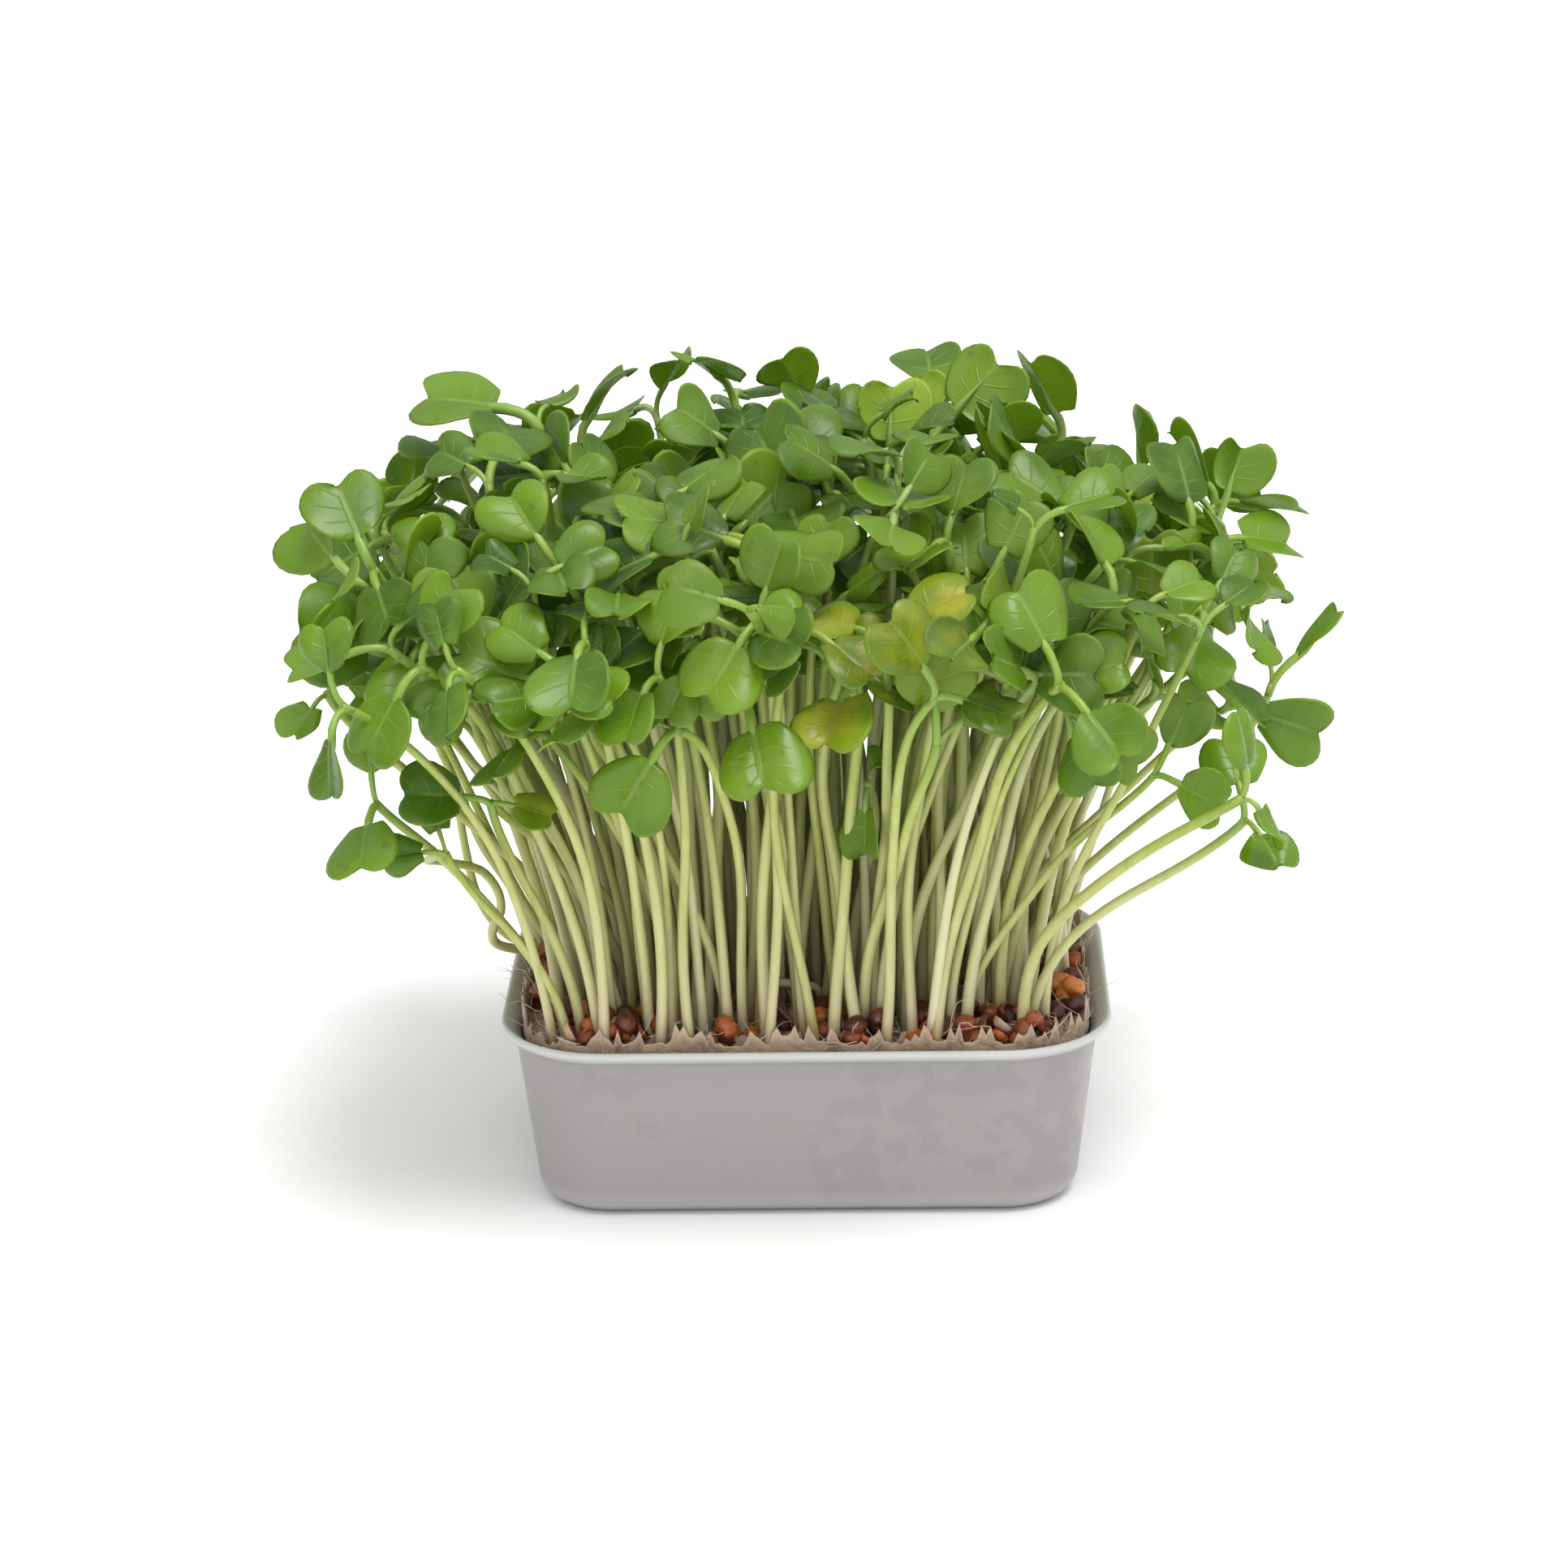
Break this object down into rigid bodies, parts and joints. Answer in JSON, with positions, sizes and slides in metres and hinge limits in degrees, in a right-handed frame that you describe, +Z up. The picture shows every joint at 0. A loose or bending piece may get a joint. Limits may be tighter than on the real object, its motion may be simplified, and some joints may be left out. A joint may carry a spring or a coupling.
{
  "type": "tray of cress microgreens",
  "caption": "Small plastic tray of living cress microgreens: notched green seed leaves on pale stems, rooted in a fibre mat with seed coats left on it.",
  "frame": {"origin": "middle of the tray's flat underside, on the surface that it stands on", "axes": "+Z up, +X along the tray's long side to the right as seen from the front, +Y away from the front"},
  "size_m": [0.1645, 0.1322, 0.1252],
  "materials": {
    "tray_plastic": "satin, faintly translucent grey-white",
    "mat_fibre": "matte felted fibre",
    "seed_coat": "satin, damp",
    "sprout": "satin living leaf, pale towards the root"
  },
  "bodies": {
    "root": {"growing_mat": "mat_fibre", "seed_husks_front_left": "seed_coat", "seed_husks_front_middle": "seed_coat", "seed_husks_front_right": "seed_coat", "seed_husks_left_side": "seed_coat", "seed_husks_right_side": "seed_coat", "sprouts_01": "sprout", "sprouts_02": "sprout", "sprouts_03": "sprout", "sprouts_04": "sprout", "sprouts_05": "sprout", "sprouts_06": "sprout", "sprouts_07": "sprout", "sprouts_08": "sprout", "sprouts_09": "sprout", "sprouts_10": "sprout", "sprouts_11": "sprout", "sprouts_12": "sprout", "sprouts_13": "sprout", "sprouts_14": "sprout", "sprouts_15": "sprout", "sprouts_16": "sprout", "sprouts_17": "sprout", "sprouts_18": "sprout", "sprouts_19": "sprout", "sprouts_20": "sprout", "sprouts_21": "sprout", "sprouts_22": "sprout", "sprouts_23": "sprout", "sprouts_24": "sprout", "sprouts_25": "sprout", "sprouts_26": "sprout", "sprouts_27": "sprout", "sprouts_28": "sprout", "sprouts_29": "sprout", "sprouts_30": "sprout", "sprouts_31": "sprout", "sprouts_32": "sprout", "sprouts_33": "sprout", "tray": "tray_plastic"}
  },
  "joints": []
}
